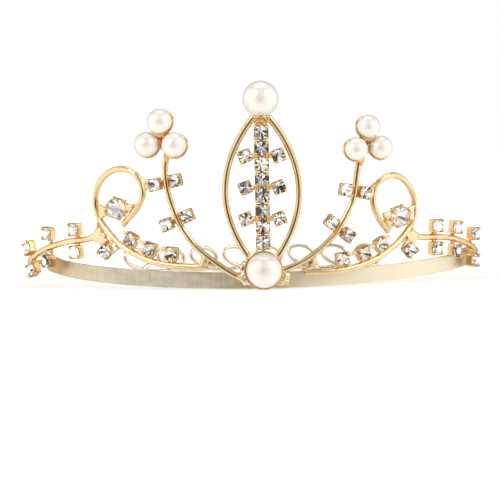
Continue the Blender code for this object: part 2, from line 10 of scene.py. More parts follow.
import bpy
import numpy as np
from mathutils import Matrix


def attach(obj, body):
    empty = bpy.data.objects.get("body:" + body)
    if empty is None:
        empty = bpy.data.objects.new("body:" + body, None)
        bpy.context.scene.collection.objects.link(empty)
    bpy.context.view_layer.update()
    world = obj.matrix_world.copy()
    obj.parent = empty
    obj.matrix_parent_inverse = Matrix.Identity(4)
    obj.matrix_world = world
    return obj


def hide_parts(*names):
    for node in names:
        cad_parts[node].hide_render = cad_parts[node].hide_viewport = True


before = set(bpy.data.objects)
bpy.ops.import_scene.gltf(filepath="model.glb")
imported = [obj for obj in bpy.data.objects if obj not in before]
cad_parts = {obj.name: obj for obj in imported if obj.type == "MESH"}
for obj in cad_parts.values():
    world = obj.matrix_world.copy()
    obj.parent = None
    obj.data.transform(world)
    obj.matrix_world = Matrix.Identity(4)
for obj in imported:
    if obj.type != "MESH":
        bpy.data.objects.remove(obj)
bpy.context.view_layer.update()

MM = 0.001
PATH_STEP = 0.35  # between the circles of a wire
UPRIGHT = np.array([0.0, 0.0, 1.0])

# Band and the looped wire behind it
BAND_RADIUS = 64.4
BAND_HEIGHT = 4.6
BAND_THICKNESS = 0.8
BAND_EDGE = 0.2
BAND_END = math.radians(84)
BAND_TIP = 0.6  # the ends' height, as a share of the rest
BAND_TIP_SHARE = 1 / 28  # of each half's length
BAND_WAVE = 0.05  # how far the bent strip strays from its curve
FRONT_LEAN = math.radians(5)
REAR_WIRE = 1.3
REAR_DEPTH = 47.0
LOOPS = 8
LOOP_PITCH = 10.2
LOOP_HEIGHT = 8.4
LOOP_SWING = 6.2
LOOP_SPREAD = 1.2
LOOP_SLANT = 0.35
REAR_LAP = 11.0

# Ornament wire, cups and stones
WIRE = 1.7
WIRE_SWELL = 1.06  # the plating and the solder that wets them make the visible wires this much fatter
FACE_GAP = 0.3  # the ornament stands off the band's face by the solder under it
CUP = 3.9  # on the branches, the chains and below the scrolls
SMALL_CUP = 3.4  # beside the column and on the stems
SMALL_CUP_SHOWN = 3.7  # with the solder that fills its gaps
CUP_DEPTH = 2.4
BRANCH_CUP_TURN = math.radians(12)  # how far these face forward, off the band's own face
FOOT_CUP_TURN = math.radians(20)
BIG_TURN = math.radians(18)
COLUMN_CUP = 4.1
COLUMN_CUPS = 8
COLUMN_STEP = 4.38
SIDE_CUP_TURN = math.radians(20)
BIG_STONE = 5.4
BIG_DEPTH = 2.8
GIRDLE_DROP = 0.16  # from a cup's rim down to its stone's girdle
BIG_GIRDLE_DROP = 0.2
WALL_RIM = 0.16  # from a stone's girdle to the outside of its cup
CUP_POWER = 11.0  # how square a cup is
CLAW_SHARE = 0.128  # thickness of a claw's tip, as a share of its cup's size

# Painted reflections: how bright a foiled facet's painted tone may be, and the odds of each in the stones at
# the sides and in the middle
FACET_REFLECTION_TONES = [0.01, 0.3, 0.8, 1.0]
BRIGHT_REFLECTION_ODDS = [0.26, 0.12, 0.16, 0.46]
DARK_REFLECTION_ODDS = [0.36, 0.13, 0.15, 0.36]
# The large stones' painted reflection tones start at the dimmest and run over the spread
BIG_STONE_DIMMEST = 0.32
BIG_STONE_SPREAD = 0.6

# Almond-shaped frame round the column
FRAME_SPARE = 0.4
FRAME_POINT = 6.0
FRAME_DROP = 1.3
FRAME_TOP = 0.83
FRAME_FOOT = 0.80
FRAME_REACH_UP = 0.885  # where the visible wires end, against the top pearl

# Pearls
PEARL = 10.0
PEARL_UP = 6.2
PEARL_SPARE = 0.03
DISH_WALL = 0.5
DISH_GAP = -0.02  # the glue fills the gap
BEAD_RADIUS = 0.42
BEAD_STEP = 0.70
BEAD_ROW = 0.62
CLUSTER_GAP = 0.5
CLUSTER_TIP = math.radians(22)

HANDS = {"left": -1, "right": 1}

# Each side's bent wires as (across, up) or (across, up, out), and what is brazed to them. The two sides
# are bent by hand and differ a little.
LEFT = {
    "cluster": (26.0, 43.2),
    "cluster_pearl": 7.0,
    "stem": [
        (26.0, 39.0), (27.2, 34.5), (26.6, 27.3), (23.7, 19.2), (20.8, 14.6), (17.5, 10.8), (11.4, 6.2),
        (7.1, 3.6), (3.8, 2.2),
    ],
    "scroll": [
        (41.2, 17.4), (37.0, 21.5), (34.4, 25.5), (34.8, 29.6), (37.6, 32.5), (41.4, 33.2), (45.4, 32.2),
        (49.4, 29.2), (51.4, 25.0), (51.2, 20.8), (48.6, 16.8), (43.4, 12.3), (39.0, 10.0), (34.4, 8.1),
        (29.2, 6.9), (23.1, 6.4), (15.3, 6.2),
    ],
    "branch": [
        (51.2, 14.2), (54.0, 12.7), (58.2, 11.8), (64.0, 10.9, 2.0), (69.7, 9.3, 3.2), (74.8, 7.4, 4.6),
        (79.3, 4.8, 6.0), (82.0, 3.2, 6.0), (84.4, 2.5, 3.8), (85.6, 2.3, 1.3),
    ],
    "stem_pairs": [(29.9, -6, 0.1), (19.4, 1, 0.4)],  # height, lean in degrees, spare
    "trio": [39.6, 33.0, 25.8],
    "trio_spare": 0.3,
    "big_stone": (43.0, 22.1),
    "foot": (44.8, 1.8),  # where along the scroll, and spare
    "branch_pairs": [(60.3, 4, 0.0), (71.8, 22, 0.1), (79.6, 4, 0.1)],
    "webs": {
        "root": [
            (50.6, 17.7), (49.1, 15.9), (47.1, 13.9), (46.1, 12.3), (46.6, 10.9), (50.3, 10.9),
            (53.4, 11.9), (53.8, 13.4),
        ],
        "arm": [(45.9, 10.0), (43.9, 11.6), (42.4, 10.5), (45.3, 8.6)],
        "lug": [(50.6, 23.4), (46.4, 21.9), (46.6, 19.6), (49.8, 17.9)],
        "end": [(40.9, 24.2), (36.9, 23.6), (38.2, 20.0), (40.3, 18.2)],
        "tie": [(35.6, 31.9), (31.6, 30.6), (31.6, 28.6), (33.9, 26.0)],
        "tail": [(17.2, 11.3), (13.6, 8.4), (11.6, 5.5), (18.2, 5.7)],
    },
}
RIGHT = {
    "cluster": (27.9, 40.8),
    "cluster_pearl": 6.5,
    "stem": [
        (27.9, 36.6), (27.3, 33.0), (26.4, 27.7), (25.6, 23.8), (23.6, 20.0), (20.9, 15.6), (17.2, 11.8),
        (13.1, 8.7), (10.1, 7.1), (5.8, 5.3),
    ],
    "scroll": [
        (36.9, 14.2), (33.8, 17.9), (32.1, 21.6), (32.0, 25.2), (33.4, 28.0), (35.9, 29.6), (39.0, 30.0),
        (42.3, 28.6), (45.2, 25.4), (46.5, 21.2), (46.1, 17.1), (43.5, 13.8), (39.6, 10.6), (35.6, 8.2),
        (31.1, 6.3), (25.5, 4.9), (20.2, 4.3), (11.6, 4.4),
    ],
    "branch": [
        (47.2, 11.9), (50.5, 11.3), (55.6, 10.9), (63.3, 9.7, 1.4), (70.8, 7.5, 2.0), (76.4, 5.1, 2.5),
        (79.2, 3.9, 2.0), (81.0, 3.2, 1.3),
    ],
    "stem_pairs": [(26.4, -3, 0.0), (16.2, -4, 0.1)],
    "trio": [35.3, 29.2, 22.2],
    "trio_spare": 0.1,
    "big_stone": (40.6, 18.4),
    "foot": (41.6, 1.6),
    "branch_pairs": [(55.2, 4, 0.0), (64.6, 8, 0.0), (74.8, 20, 0.0)],
    "webs": {
        "root": [(45.3, 15.2), (48.2, 12.7), (48.3, 10.9), (44.6, 9.7), (40.9, 8.9), (43.0, 12.6)],
        "lug": [(46.7, 21.8), (43.6, 20.6), (43.4, 17.2), (45.8, 15.6)],
        "end": [(34.6, 19.6), (38.4, 20.9), (38.6, 15.4), (36.4, 13.6)],
        "tie": [(32.2, 28.6), (30.2, 27.0), (30.2, 24.9), (32.2, 22.4)],
        "tail": [(14.6, 9.2), (16.2, 5.0), (10.4, 4.6), (8.8, 6.4)],
    },
}
SIDES = {"left": LEFT, "right": RIGHT}

# The solder that shows beside the bottom pearl, as (across, up) corners
SEAT_WEBS = [
    [(-3.0, 7.5), (-5.6, 8.4), (-6.9, 6.6), (-6.3, 4.6), (-8.0, 3.4), (-5.4, 1.0), (-2.2, 0.8), (-1.0, 4.0)],
    [(2.6, 5.6), (5.6, 5.2), (7.8, 4.3), (7.0, 2.4), (7.4, 1.0), (4.6, 0.7), (1.8, 1.2)],
]

# Tent, floor and camera, in metres
TENT_WHITE = (1.0, 0.985, 0.96)
OPENING_AT = (-0.06, -1.0, -0.08)
OPENING_BROWN = (0.05, 0.03, 0.012, 1)
OPENING_OUTER = math.radians(24)  # where the tent starts to darken round the opening
OPENING_INNER = math.radians(16)
FLOOR_HALF = 4.0
CAMERA_DISTANCE = 0.900
CAMERA_RISE = math.radians(2.89)
CAMERA_TURN = math.radians(0.89)
CAMERA_ROLL = math.radians(1.16)
CAMERA_SHIFT = (-0.00288, 0.01073)  # from the front's foot to the middle of the picture

# Derived places
wire_out = FACE_GAP + WIRE / 2
column_half = (COLUMN_CUPS - 1) / 2 * COLUMN_STEP + COLUMN_CUP / 2
column_up = PEARL_UP + PEARL / 2 + column_half
frame_middle = column_up - FRAME_DROP
frame_reach = column_half + FRAME_POINT
turned_half = SMALL_CUP / 2 * (math.cos(SIDE_CUP_TURN) + math.sin(SIDE_CUP_TURN))
side_cup_across = COLUMN_CUP / 2 + FACE_GAP + turned_half
side_cup_ups = [column_up + step * COLUMN_STEP for step in (2, 0, -2)]
frame_need = side_cup_across + turned_half + FACE_GAP + FRAME_SPARE + WIRE / 2
frame_half = frame_need / (1 - ((side_cup_ups[0] - frame_middle) / frame_reach) ** 2)


# ---- Materials


class Value:
    """A number or colour inside a node tree. Arithmetic on it adds Math nodes."""

    def __init__(self, paint, socket):
        self.paint = paint
        self.socket = socket

    def _math(self, operation, other):
        return self.paint.node("ShaderNodeMath", {0: self, 1: other}, operation=operation)

    def __add__(self, other):
        return self._math("ADD", other)

    def __mul__(self, other):
        return self._math("MULTIPLY", other)

    __rmul__ = __mul__


class Paint:
    """The node tree of a new material or world, with a call that adds any node."""

    def __init__(self, owner):
        owner.use_nodes = True
        self.owner = owner
        self.tree = owner.node_tree
        self.tree.nodes.clear()

    def node(self, kind, inputs, output=0, **settings):
        made = self.tree.nodes.new(kind)
        for name, value in settings.items():
            setattr(made, name, value)
        for name, value in inputs.items():
            if isinstance(value, Value):
                self.tree.links.new(value.socket, made.inputs[name])
            else:
                made.inputs[name].default_value = value
        return Value(self, made.outputs[output]) if len(made.outputs) else None

    def noise(self, scale, detail=2.0, roughness=0.5, where=None):
        """A soft random pattern over the object, or over other coordinates."""
        where = where or self.object_place()
        inputs = {"Vector": where, "Scale": scale, "Detail": detail, "Roughness": roughness}
        return self.node("ShaderNodeTexNoise", inputs)

    def span(self, value, low, high, new_low=0.0, new_high=1.0):
        """The value carried from one span to another, and held at its ends."""
        inputs = {"Value": value, "From Min": low, "From Max": high,
                  "To Min": new_low, "To Max": new_high}
        return self.node("ShaderNodeMapRange", inputs, clamp=True)

    def blend(self, share, first, second):
        return self.node("ShaderNodeMix", {0: share, 6: first, 7: second}, 2, data_type="RGBA")

    def bump(self, height, strength, distance):
        inputs = {"Height": height, "Strength": strength, "Distance": distance}
        return self.node("ShaderNodeBump", inputs)

    def object_place(self):
        return self.node("ShaderNodeTexCoord", {}, 3)

    def attribute(self, name):
        return self.node("ShaderNodeAttribute", {}, 1, attribute_name=name)

    def stretched(self, vector, *scale):
        return self.node("ShaderNodeMapping", {"Vector": vector, "Scale": scale})

    def dot(self, first, second):
        return self.node("ShaderNodeVectorMath", {0: first, 1: second}, 1, operation="DOT_PRODUCT")

    def finish(self, inputs):
        shader = self.node("ShaderNodeBsdfPrincipled", inputs)
        self.node("ShaderNodeOutputMaterial", {"Surface": shader})
        return self.owner


def new_paint(name):
    return Paint(bpy.data.materials.new(name))


def gold_plate(name, light, deep, roughness, ripple):
    """Light gold plating: broad drifts of tone, a fine skin of ripples and patches less well polished."""
    paint = new_paint(name)
    drift = paint.span(paint.noise(260, 3, 0.6), 0.35, 0.65)
    polish = paint.span(paint.noise(420, 3, 0.6), 0.3, 0.75, roughness * 0.75, roughness * 1.5)
    skin = paint.noise(700, 3, 0.55) + 0.5 * paint.noise(2600)
    return paint.finish({
        "Base Color": paint.blend(drift, (*light, 1), (*deep, 1)),
        "Metallic": 1.0,
        "Roughness": polish,
        "Normal": paint.bump(skin, ripple, 0.00012),
    })


def brushed_plate():
    """Satin plating on the band, brushed along its length: painted shade greys it to the left, painted light
    pales it to the right.

    The course is how far round the band a point is, its height and which face it is on. The two ends
    are gold.
    """
    paint = new_paint("band_satin")
    course = paint.attribute("course")
    streak = paint.noise(1.0, 4, 0.65, paint.stretched(course, 0.05, 9.0, 1.0))
    patch = paint.span(paint.noise(1.0, where=paint.stretched(course, 0.16, 0.5, 1.0)), 0.35, 0.68)
    wave = paint.noise(1.0, where=paint.stretched(course, 1.6, 0.15, 1.0))
    tone = paint.span(streak * 0.35 + patch * 0.3 + wave * 0.55, 0.38, 0.82)
    place = paint.node("ShaderNodeSeparateXYZ", {0: course})
    plain = paint.blend(tone, (0.70, 0.58, 0.40, 1), (0.84, 0.73, 0.54, 1))
    # Painted shade on the band's left part, and painted light on its right part
    grey = paint.span(place, -66, -46) * paint.span(place, 10, -8)
    painted_shade_tone = paint.blend(tone, (0.50, 0.44, 0.32, 1), (0.70, 0.64, 0.51, 1))
    shaded_left = paint.blend(grey * 0.85, plain, painted_shade_tone)
    pale = paint.blend(paint.span(place, 0, 20, 0.0, 0.9), shaded_left, (0.95, 0.85, 0.65, 1))
    ends = paint.span(place * place + streak * 900, 67.0**2, 80.0**2, 0.0, 0.85)
    return paint.finish({
        "Base Color": paint.blend(ends, pale, (0.78, 0.57, 0.29, 1)),
        "Metallic": paint.span(place * place, 25.0**2, 60.0**2, 0.4, 1.0),
        "Roughness": paint.span(streak + patch * 0.3, 0.3, 1.0, 0.32, 0.50),
        "Anisotropic": 0.5,
        "Normal": paint.bump(streak + wave * 0.5, 0.22, 0.0001),
    })


def pearl_coat():
    """A pearlescent skin over white glass: cream with faint rosy and greenish drifts, under clear lacquer."""
    paint = new_paint("pearl_skin")
    rosy = paint.span(paint.noise(120), 0.35, 0.65)
    pale = paint.blend(rosy, (0.97, 0.92, 0.82, 1), (0.97, 0.90, 0.84, 1))
    green = paint.span(paint.noise(260), 0.55, 0.75, 0.0, 0.5)
    return paint.finish({
        "Base Color": paint.blend(green, pale, (0.88, 0.88, 0.82, 1)),
        "Metallic": 0.3,
        "Roughness": paint.span(paint.noise(500), 0.3, 0.7, 0.26, 0.32),
        "Coat Weight": 0.9,
        "Coat Roughness": 0.18,
        "Coat IOR": 1.5,
    })


def clear_crystal():
    """Clear leaded glass, with the faintest scatter of polishing marks."""
    paint = new_paint("clear_crystal")
    return paint.finish({
        "Base Color": (0.97, 0.97, 0.98, 1),
        "Roughness": paint.span(paint.noise(900), 0.4, 0.8, 0.0, 0.03),
        "IOR": 1.6,
        "Transmission Weight": 1.0,
    })


def silver_foil():
    """The mirror backing under a stone's lower facets, each facet painted with a reflection's tone, which
    also glows faintly as painted light.
    """
    paint = new_paint("silver_foil")
    facet_reflection = paint.attribute("facet_reflection")
    grey = paint.span(paint.noise(700), 0.35, 0.7)
    return paint.finish({
        # Painted reflections as the foil's colour, with a little of the foil's own grey
        "Base Color": paint.blend(grey * 0.12, facet_reflection, (0.72, 0.70, 0.68, 1)),
        "Metallic": 0.8,
        "Roughness": paint.span(grey, 0, 1, 0.05, 0.12),
        # Painted light: the painted reflection tones glow a little
        "Emission Color": facet_reflection,
        "Emission Strength": 0.32,
    })


# ---- Shapes


class Shape:
    """Points and faces of one closed surface, turned to face outwards. The course is for materials."""

    def __init__(self, points, faces, course=None):
        self.points = np.asarray(points, float)
        self.faces = [np.asarray(group) for group in faces]
        self.course = course
        volume = 0.0
        for group in self.faces:
            first = self.points[group[:, 0]]
            for i in range(1, group.shape[1] - 1):
                second, third = self.points[group[:, i]], self.points[group[:, i + 1]]
                volume += (first * np.cross(second, third)).sum()
        if volume < 0:
            self.faces = [group[:, ::-1] for group in self.faces]

    def put(self, place):
        """The same surface carried to a place, which is (origin, axes)."""
        origin, axes = place
        return Shape(self.points @ axes.T + origin, self.faces)


def skin(rows, course=None):
    """A closed surface over rings of points: each ring wraps round, and a fan of triangles shuts each end."""
    count, around = rows.shape[:2]
    grid = np.arange(count * around).reshape(count, around)
    after = np.roll(grid, -1, axis=1)
    quads = np.stack([grid[:-1], after[:-1], after[1:], grid[1:]], axis=-1).reshape(-1, 4)
    start, end = count * around, count * around + 1
    first_fan = np.stack([after[0], grid[0], np.full(around, start)], axis=-1)
    last_fan = np.stack([grid[-1], after[-1], np.full(around, end)], axis=-1)
    points = np.concatenate([rows.reshape(-1, 3), rows[[0, -1]].mean(axis=1)])
    if course is not None:
        course = np.concatenate([course.reshape(-1, 3), course[[0, -1]].mean(axis=1)])
    return Shape(points, [quads, first_fan, last_fan], course)


def full_turn(count):
    """A row of angles, once round."""
    return np.arange(count)[None, :] * 2 * math.pi / count


def directions(rows, around):
    """Unit vectors in rings: radius sin(a) at height -cos(a), for a from pole to pole."""
    a = np.linspace(0, math.pi, rows + 2)[1:-1, None]
    return rings(np.sin(a), -np.cos(a), around)


def rings(radius, height, around):
    """A circle for each row of these two columns, about the upright axis."""
    turn = full_turn(around)
    return np.stack([radius * np.cos(turn), radius * np.sin(turn),
                     np.broadcast_to(height, (len(height), around))], axis=-1)


def ball(radius, centre=(0, 0, 0), rows=24, around=32):
    centre = np.asarray(centre, float)
    made = skin(directions(rows, around) * radius + centre)
    made.points[-2:] = centre + np.outer((-radius, radius), UPRIGHT)
    return made


def across_at(degrees):
    """The unit vector at this many degrees in the plane of X and Y."""
    return np.array([math.cos(math.radians(degrees)), math.sin(math.radians(degrees)), 0])


def unit(vectors):
    return vectors / np.linalg.norm(vectors, axis=-1, keepdims=True)


def tube(path, outward, radius, around=20, flat_ends=0.0):
    """A round wire: circles square to the path, with half balls (or flatter domes) over its two ends.

    A point is path + radius * (cos(turn) * side + sin(turn) * out), where side is the path's direction
    crossed with the outward vector. Over an end the circle shrinks as cos(a) while it moves on by sin(a).
    """
    along = unit(np.gradient(path, axis=0))
    side = unit(np.cross(along, outward))
    out = np.cross(side, along)
    radius = np.broadcast_to(np.asarray(radius, float), (len(path),))
    dome = np.radians([80.0, 62.0, 44.0, 28.0, 13.0])
    push = 1.0 - flat_ends
    before = path[0] - np.outer(np.sin(dome), along[0]) * radius[0] * push
    behind = path[-1] + np.outer(np.sin(dome[::-1]), along[-1]) * radius[-1] * push
    centres = np.concatenate([before, path, behind])
    sides, outs = (np.pad(rows, ((len(dome), len(dome)), (0, 0)), "edge") for rows in (side, out))
    widths = np.concatenate([radius[0] * np.cos(dome), radius, radius[-1] * np.cos(dome[::-1])])
    turn = full_turn(around)[..., None]
    ring = np.cos(turn) * sides[:, None] + np.sin(turn) * outs[:, None]
    return skin(centres[:, None] + widths[:, None, None] * ring)


def smooth(points, steps):
    """Points on the Catmull-Rom curve through these ones, and the outline number that each is at."""
    points = np.asarray(points, float)
    ends = np.concatenate([2 * points[:1] - points[1:2], points, 2 * points[-1:] - points[-2:-1]])
    before, start, end, after = (ends[i : len(ends) - 3 + i][:, None] for i in range(4))
    t = np.linspace(0, 1, steps, endpoint=False)[None, :, None]
    line = 2 * start + t * (end - before)
    bend = t**2 * (2 * before - 5 * start + 4 * end - after)
    twist = t**3 * (3 * start - before - 3 * end + after)
    found = ((line + bend + twist) / 2).reshape(-1, points.shape[1])
    number = np.arange(len(found) + 1) / steps
    return np.concatenate([found, points[-1:]]), number


def relax(points, reach):
    """Points averaged with their neighbours under a bell curve, with both ends held."""
    window = np.exp(-np.linspace(-2, 2, 2 * reach + 1) ** 2)
    window /= window.sum()
    head = 2 * points[0] - points[reach:0:-1]
    tail = 2 * points[-1] - points[-2 : -reach - 2 : -1]
    padded = np.concatenate([head, points, tail])
    return np.stack([np.convolve(padded[:, i], window, "valid") for i in range(3)], axis=1)


def evenly(points, *also):
    """Points at equal steps along the same path, with other rows of values carried along."""
    length = np.concatenate([[0], np.cumsum(np.linalg.norm(np.diff(points, axis=0), axis=1))])
    wanted = np.linspace(0, length[-1], round(length[-1] / PATH_STEP) + 1)
    rows = [points, *also]
    return [np.stack([np.interp(wanted, length, row[:, i]) for i in range(row.shape[1])], axis=1)
            for row in rows]


# ---- Places on the front


def spin(angle):
    """The axes turned about Z."""
    c, s = math.cos(angle), math.sin(angle)
    return np.array([[c, -s, 0], [s, c, 0], [0, 0, 1]])


def tilt(angle):
    """The axes turned about X."""
    c, s = math.cos(angle), math.sin(angle)
    return np.array([[1, 0, 0], [0, c, -s], [0, s, c]])


lean_axes = tilt(FRONT_LEAN)


def lean(points):
    """Front coordinates to the tiara's own: turned forward about the middle of the band's lower edge."""
    middle = np.array([0, (BAND_THICKNESS + BAND_EDGE) / 2, 0])
    return (points - middle) @ lean_axes.T


def on_face(across, up, out):
    """Points at these distances round, over and off the band's outer face."""
    angle = np.asarray(across, float) / BAND_RADIUS
    reach = BAND_RADIUS + np.asarray(out, float)
    height = np.broadcast_to(np.asarray(up, float), angle.shape)
    return lean(np.stack([reach * np.sin(angle), BAND_RADIUS - reach * np.cos(angle), height], -1))


def outward_at(across):
    angle = np.asarray(across, float) / BAND_RADIUS
    return np.stack([np.sin(angle), -np.cos(angle), np.zeros_like(angle)], -1) @ lean_axes.T


def cup_reach(size, lean_by=0.0, spare=0.0):
    """From a wire's centre line to the centre of a cup beside it, so that a leaning cup's corner clears."""
    return (WIRE / 2 + FACE_GAP) / math.cos(lean_by) + size / 2 * (1 + abs(math.tan(lean_by))) + spare


def facing(across, up, out=0.0, roll=0.0, tip=0.0, forward=0.0):
    """A place there: local X runs across, Y up and Z outward.

    Tip looks up, roll turns about Z, and forward faces that much nearer to the front than the band does.
    """
    outward = outward_at(across - math.copysign(forward * BAND_RADIUS, across))
    right = np.cross(lean_axes[:, 2], outward)
    axes = np.stack([right, lean_axes[:, 2], outward], axis=1)
    return on_face(across, up, out), axes @ tilt(-tip) @ spin(roll)


class Route:
    """A wire's centre line as (across, up, out), with the side's sign on across."""

    def __init__(self, outline, hand):
        full = [point if len(point) == 3 else (*point, wire_out) for point in outline]
        signed = np.asarray(full, float) * (hand, 1, 1)
        self.hand = hand
        self.places, self.number = smooth(signed, 12)

    def nearest(self, measure, target, after=0):
        """Where across (0) or up (1) first reaches the target past an outline point, and its direction."""
        wanted = target * (self.hand if measure == 0 else 1)
        values = self.places[:, measure] - wanted
        crossing = (values[:-1] * values[1:] <= 0) & (self.number[:-1] >= after)
        i = int(np.argmax(crossing))
        low, high = values[i], values[i + 1]
        place = self.places[i] + (self.places[i + 1] - self.places[i]) * low / (low - high)
        return place, unit(self.places[i + 1] - self.places[i])

    def shape(self):
        """The wire along it, a little thicker and thinner by turns."""
        eased = relax(self.places, 7)
        path, outward = evenly(on_face(*eased.T), outward_at(eased[:, 0]))
        length = np.arange(len(path)) * PATH_STEP
        swell = 1 + 0.018 * np.sin(length * 0.31) * np.sin(length * 0.113 + 1)
        return tube(path, outward, WIRE / 2 * swell * WIRE_SWELL, flat_ends=0.55)


# ---- Pieces


def add_object(name, data):
    made = bpy.data.objects.new(name, data)
    bpy.context.scene.collection.objects.link(made)
    return made


def add_vectors(mesh, name, domain, values):
    made = mesh.attributes.new(name, "FLOAT_VECTOR", domain)
    made.data.foreach_set("vector", values.astype(np.float32).ravel())


def piece(name, shapes, materials, nodes=(), crease=35, facet_material=None, facet_reflections=None):
    """One finished object from several shapes, in metres, riding on the tiara."""
    points, faces, count = [], [], 0
    for shape in shapes:
        points.append(shape.points)
        for group in shape.faces:
            faces.extend((group + count).tolist())
        count += len(shape.points)
    mesh = bpy.data.meshes.new(name)
    mesh.from_pydata((np.concatenate(points) * MM).tolist(), [], faces)
    for material in materials:
        mesh.materials.append(material)
    if shapes[0].course is not None:
        add_vectors(mesh, "course", "POINT", shapes[0].course)
    # Painted reflection tones on a stone's foiled facets
    if facet_material is not None:
        mesh.polygons.foreach_set("material_index", facet_material)
        add_vectors(mesh, "facet_reflection", "FACE", facet_reflections)
    if crease:
        mesh.shade_smooth()
        mesh.set_sharp_from_angle(angle=math.radians(crease))
    mesh.update()
    made = add_object(name, mesh)
    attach(made, "root")
    if nodes:
        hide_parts(*nodes)
    return made


def gold_piece(name, shapes, nodes=(), material=None, crease=35):
    return piece(name, shapes, [material or wire_gold], nodes, crease)


def solder_piece(name, shapes):
    gold_piece(name, shapes, (), solder_gold)


def boxy(turn, power):
    """A circle's two coordinates at these angles, pushed out towards a square by a power under 1."""
    return [np.sign(wave) * np.abs(wave) ** power for wave in (np.cos(turn), np.sin(turn))]


def make_band():
    """The strip: a rectangle with rounded edges carried round the front half of the head.

    The rectangle's outline is |x / half|^p + |y / half|^p = 1 with a high power, so that its edges are
    rounded, and its height shrinks over the last few millimetres at each end.
    """
    side = np.linspace(-1, 1, 260)[:, None]
    outline_out, outline_up = boxy(full_turn(40), 2 / 9)
    past = np.clip((1 - np.abs(side)) / BAND_TIP_SHARE, 0, 1)
    tall = BAND_HEIGHT / 2 * (BAND_TIP + (1 - BAND_TIP) * past * past * (3 - 2 * past))
    angle = BAND_END * side
    dent = BAND_WAVE * (np.sin(angle * 23) * np.sin(angle * 9 + 1) - 1)
    radius = BAND_RADIUS - BAND_THICKNESS / 2 + (BAND_THICKNESS / 2 - 0.01) * outline_out + dent
    up = BAND_HEIGHT / 2 + tall * outline_up
    along = np.broadcast_to(angle * BAND_RADIUS, up.shape)
    course = np.stack([along, up, np.broadcast_to(outline_out, up.shape)], axis=-1)
    shape = skin(on_face(along, up, radius - BAND_RADIUS), course)
    piece("band", [shape], [band_satin], ["band_strip"], crease=50)


def rear_place(across, radius):
    widest = lean(np.array([0, BAND_RADIUS, 0]))[1]
    depth = REAR_DEPTH * np.sqrt(1 - (across / radius) ** 2)
    return np.stack([across, widest + depth, np.full_like(across, REAR_WIRE / 2)], axis=-1)


def make_rear_wire():
    """The looped wire: across moves on evenly and swings back once a loop, while height rises and falls."""
    radius = BAND_RADIUS - BAND_THICKNESS - FACE_GAP - REAR_WIRE / 2
    half_row = LOOPS * LOOP_PITCH / 2
    lap = REAR_LAP / BAND_RADIUS
    angle = BAND_END - lap + lap * 1.1 * np.linspace(0, 1, 5)
    inside = on_face(-angle * BAND_RADIUS, BAND_HEIGHT / 2, radius - BAND_RADIUS)
    share = np.linspace(0, 1, 9)[1:]
    fall = rear_place(-radius * np.cos(math.acos(half_row / radius) * share), radius)
    fall[:, 2] += (inside[-1, 2] - fall[:, 2]) * (1 + np.cos(math.pi * share)) / 2
    arm, _ = smooth(np.concatenate([inside, fall]), 8)
    fine = 48
    phase = 2 * math.pi * np.arange(1, LOOPS * fine) / fine
    height = (LOOP_HEIGHT - REAR_WIRE) / 2 * (1 - np.cos(phase))
    swing = LOOP_SWING * np.sin(phase) - LOOP_SLANT * height
    row = rear_place(LOOP_PITCH * phase / (2 * math.pi) - half_row + swing, radius)
    row[:, 1] += LOOP_SPREAD * np.sin(phase)
    row[:, 2] += height
    path = np.concatenate([arm, row, (arm * (-1, 1, 1))[::-1]])
    path = relax(evenly(path)[0], 4)
    outward = unit((path - np.array([0, BAND_RADIUS, 0])) * (1, 1, 0))
    shape = tube(path, outward, REAR_WIRE / 2, around=14)
    gold_piece("rear_wire", [shape], ["rear_loop_wire"], rear_gold)


def web(corners, hand, out, thickness, dip=0.35, wrinkle=0.10):
    """A film of solder between wires, its edge drawn inwards between (across, up) corners.

    Each stretch of the edge is the curve (1-t)^2 a + 2t(1-t) m + t^2 b, where m is the stretch's middle
    moved towards the centre. The two sides stand thickness / 2 * sqrt(1 - s^4) off the middle sheet, where
    s is the share of the way out to the edge, with wrinkles that die out there.
    """
    corners = np.asarray(corners, float)
    corners[:, 0] *= hand
    centre = corners.mean(axis=0)
    after = np.roll(corners, -1, axis=0)
    middle = (corners + after) / 2
    pulled = middle + (centre - middle) * dip
    t = np.linspace(0, 1, 10, endpoint=False)[None, :, None]
    edge = ((1 - t) ** 2 * corners[:, None] + 2 * t * (1 - t) * pulled[:, None] + t**2 * after[:, None])
    edge = edge.reshape(-1, 2)
    share = np.array([0.12, 0.3, 0.5, 0.68, 0.82, 0.92, 0.98, 1.0])
    share = np.concatenate([share, share[-2::-1]])[:, None]
    sign = np.where(np.arange(len(share)) < 8, -1.0, 1.0)[:, None]
    place = centre + share[..., None] * (edge - centre)
    swell = np.sqrt(np.clip(1 - share**4, 0, 1))
    fold = np.sin(place[..., 0] * 2.3 + place[..., 1] * 1.1) * np.sin(place[..., 1] * 2.9 - place[..., 0])
    height = out + sign * thickness / 2 * swell + wrinkle * fold * swell * (sign > 0)
    return skin(on_face(place[..., 0], place[..., 1], height))


def solder(place, arms, core=0.9, flat=0.6, sharp=9.0):
    """A drop of solder drawn out towards its arms.

    The drop is a ball whose radius, in the direction d, is core + sum(length * exp(sharp * (d . arm - 1))),
    pressed flat along the place's outward axis. Arms are (degrees in the face, length).
    """
    towards = directions(22, 56)
    radius = np.full(towards.shape[:2], float(core))
    for degrees, length in arms:
        radius += length * np.exp(sharp * (towards @ across_at(degrees) - 1))
    radius += 0.04 * np.sin(7 * towards[..., 0] * radius + 2) * np.sin(9 * towards[..., 1] * radius)
    return skin(towards * radius[..., None] * (1, 1, flat)).put(place)


